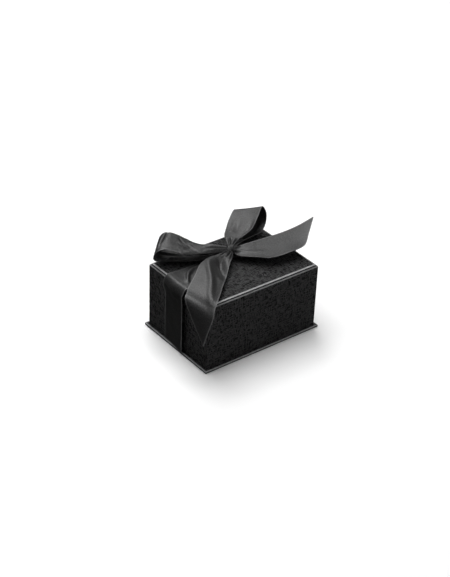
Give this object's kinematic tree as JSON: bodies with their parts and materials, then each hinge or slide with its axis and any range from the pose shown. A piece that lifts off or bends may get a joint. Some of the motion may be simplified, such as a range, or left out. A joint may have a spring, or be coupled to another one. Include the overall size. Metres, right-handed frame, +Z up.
{
  "type": "jewelry gift box",
  "caption": "Rectangular rigid-board jewelry box with a full-depth lift-off lid, overhanging base board, padded insert and a wide satin ribbon tied in a bow on top.",
  "frame": {"origin": "middle of the base's underside", "axes": "+Z up, +X along the long side, -Y towards the long front face, the hanging tail of the bow at -X -Y"},
  "size_m": [0.1133, 0.0754, 0.0639],
  "materials": {
    "linen_paper": "linen-embossed black covering paper",
    "liner_paper": "smooth matt black lining paper",
    "greyboard": "uncoated greyboard",
    "corner_tape": "gummed kraft tape",
    "foam": "open-cell foam",
    "velvet": "short-pile velvet",
    "satin": "double-faced satin with a fine selvage"
  },
  "bodies": {
    "base": {"base_board": "greyboard", "base_wrap": "linen_paper", "base_liner": "liner_paper", "tray_wall_front": "greyboard", "tray_wall_back": "greyboard", "tray_wall_left": "greyboard", "tray_wall_right": "greyboard", "tray_corner_tapes": "corner_tape", "tray_wrap": "linen_paper", "tray_floor_paper": "liner_paper"},
    "insert": {"pad_card": "greyboard", "pad_foam": "foam", "pad_velvet": "velvet"},
    "lid": {"lid_wall_front": "greyboard", "lid_wall_back": "greyboard", "lid_wall_left": "greyboard", "lid_wall_right": "greyboard", "lid_top_board": "greyboard", "lid_corner_tapes": "corner_tape", "lid_wrap": "linen_paper", "lid_lining": "liner_paper", "top_panel_board": "greyboard", "top_panel_wrap": "linen_paper", "ribbon_band": "satin", "bow_knot": "satin", "bow_loop_left": "satin", "bow_loop_right": "satin", "bow_tail_left": "satin", "bow_tail_right": "satin"}
  },
  "joints": [
    {"name": "lid_lift", "type": "slide", "parent": "base", "child": "lid", "axis": [0, 0, 1], "range_m": [0, 0.06]},
    {"name": "insert_lift", "type": "slide", "parent": "base", "child": "insert", "axis": [0, 0, 1], "range_m": [0, 0.02]}
  ]
}
